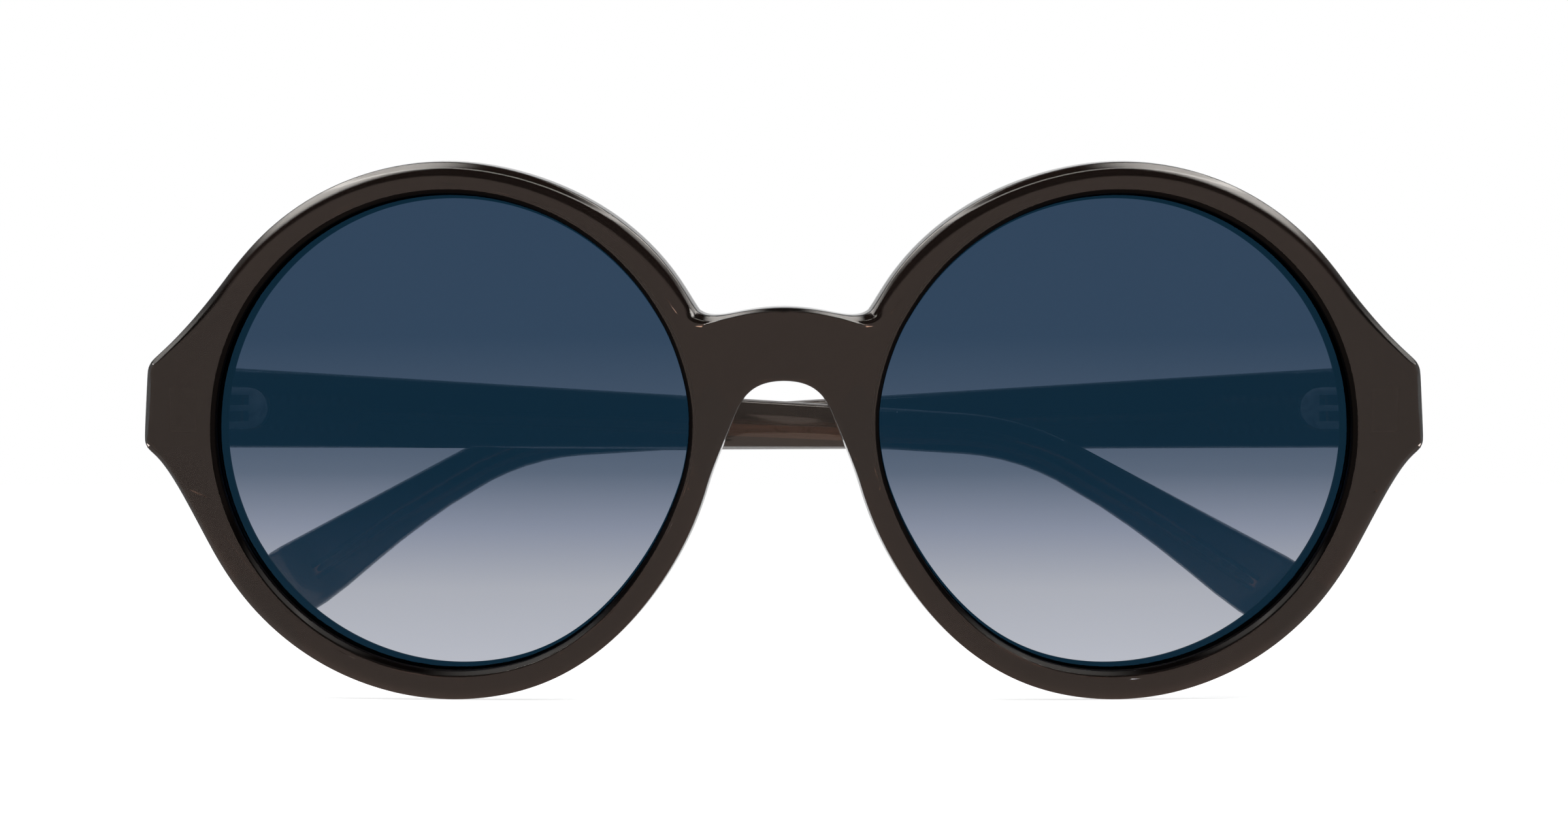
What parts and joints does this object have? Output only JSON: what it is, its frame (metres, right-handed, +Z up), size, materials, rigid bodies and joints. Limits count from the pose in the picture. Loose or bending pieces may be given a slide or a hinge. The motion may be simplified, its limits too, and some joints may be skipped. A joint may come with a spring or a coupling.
{
  "type": "sunglasses",
  "caption": "Round acetate sunglasses: thick round rims, arched bridge, flared endpieces, tinted lenses and folding temples with dropped paddle tips.",
  "frame": {"origin": "centre of the bounding box in X and Y, at the bottom of the rims in Z, with the temples folded", "axes": "+Z up, +X to the right of someone facing the front (the wearer's left), the front faces -Y and the folded temples lie behind it"},
  "size_m": [0.1484, 0.0304, 0.0623],
  "materials": {
    "acetate": "polished translucent dark grey-brown acetate",
    "lens_tint": "polished, blue-grey tint fading downwards",
    "steel": "satin nickel silver"
  },
  "bodies": {
    "front": {"front": "acetate", "right_lens": "lens_tint", "right_nose_pad": "acetate", "right_front_hinge": "steel", "right_hinge_screw": "steel", "left_lens": "lens_tint", "left_nose_pad": "acetate", "left_front_hinge": "steel", "left_hinge_screw": "steel"},
    "right_temple": {"right_temple": "acetate", "right_temple_hinge": "steel", "right_core_wire": "steel"},
    "left_temple": {"left_temple": "acetate", "left_temple_hinge": "steel", "left_core_wire": "steel"}
  },
  "joints": [
    {"name": "right_hinge", "type": "hinge", "parent": "front", "child": "right_temple", "pos_m": [-0.06955, 0.00588, 0.0338], "axis": [0, 0, 1], "range_deg": [0, 91.7]},
    {"name": "left_hinge", "type": "hinge", "parent": "front", "child": "left_temple", "pos_m": [0.06955, 0.00588, 0.0338], "axis": [0, 0, -1], "range_deg": [0, 88]}
  ]
}
